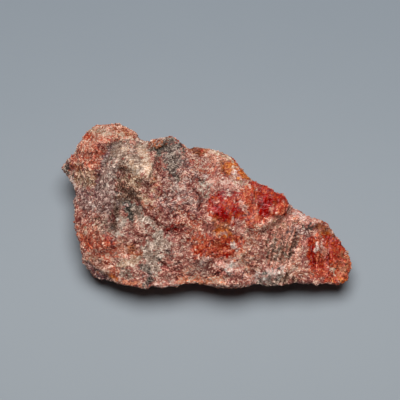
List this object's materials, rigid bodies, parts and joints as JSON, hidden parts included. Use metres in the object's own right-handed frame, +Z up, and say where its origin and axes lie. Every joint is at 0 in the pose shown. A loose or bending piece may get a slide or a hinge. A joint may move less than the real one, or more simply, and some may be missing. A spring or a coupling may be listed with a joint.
{
  "type": "triplite specimen",
  "caption": "Loose hand-held piece of triplite, a granular salmon-red phosphate mineral, with a sloping broken face, resting on its flat break.",
  "frame": {"origin": "middle of the bounding box seen from above, on the table plane that the flat break rests on", "axes": "+X along the stone's length, to the narrow tip; +Y from the low front lip to the steep back; +Z up from the table"},
  "size_m": [0.0589, 0.036, 0.0182],
  "materials": {
    "triplite": "broken, granular, with a slightly greasy lustre"
  },
  "bodies": {
    "root": {"triplite_stone": "triplite"}
  },
  "joints": []
}
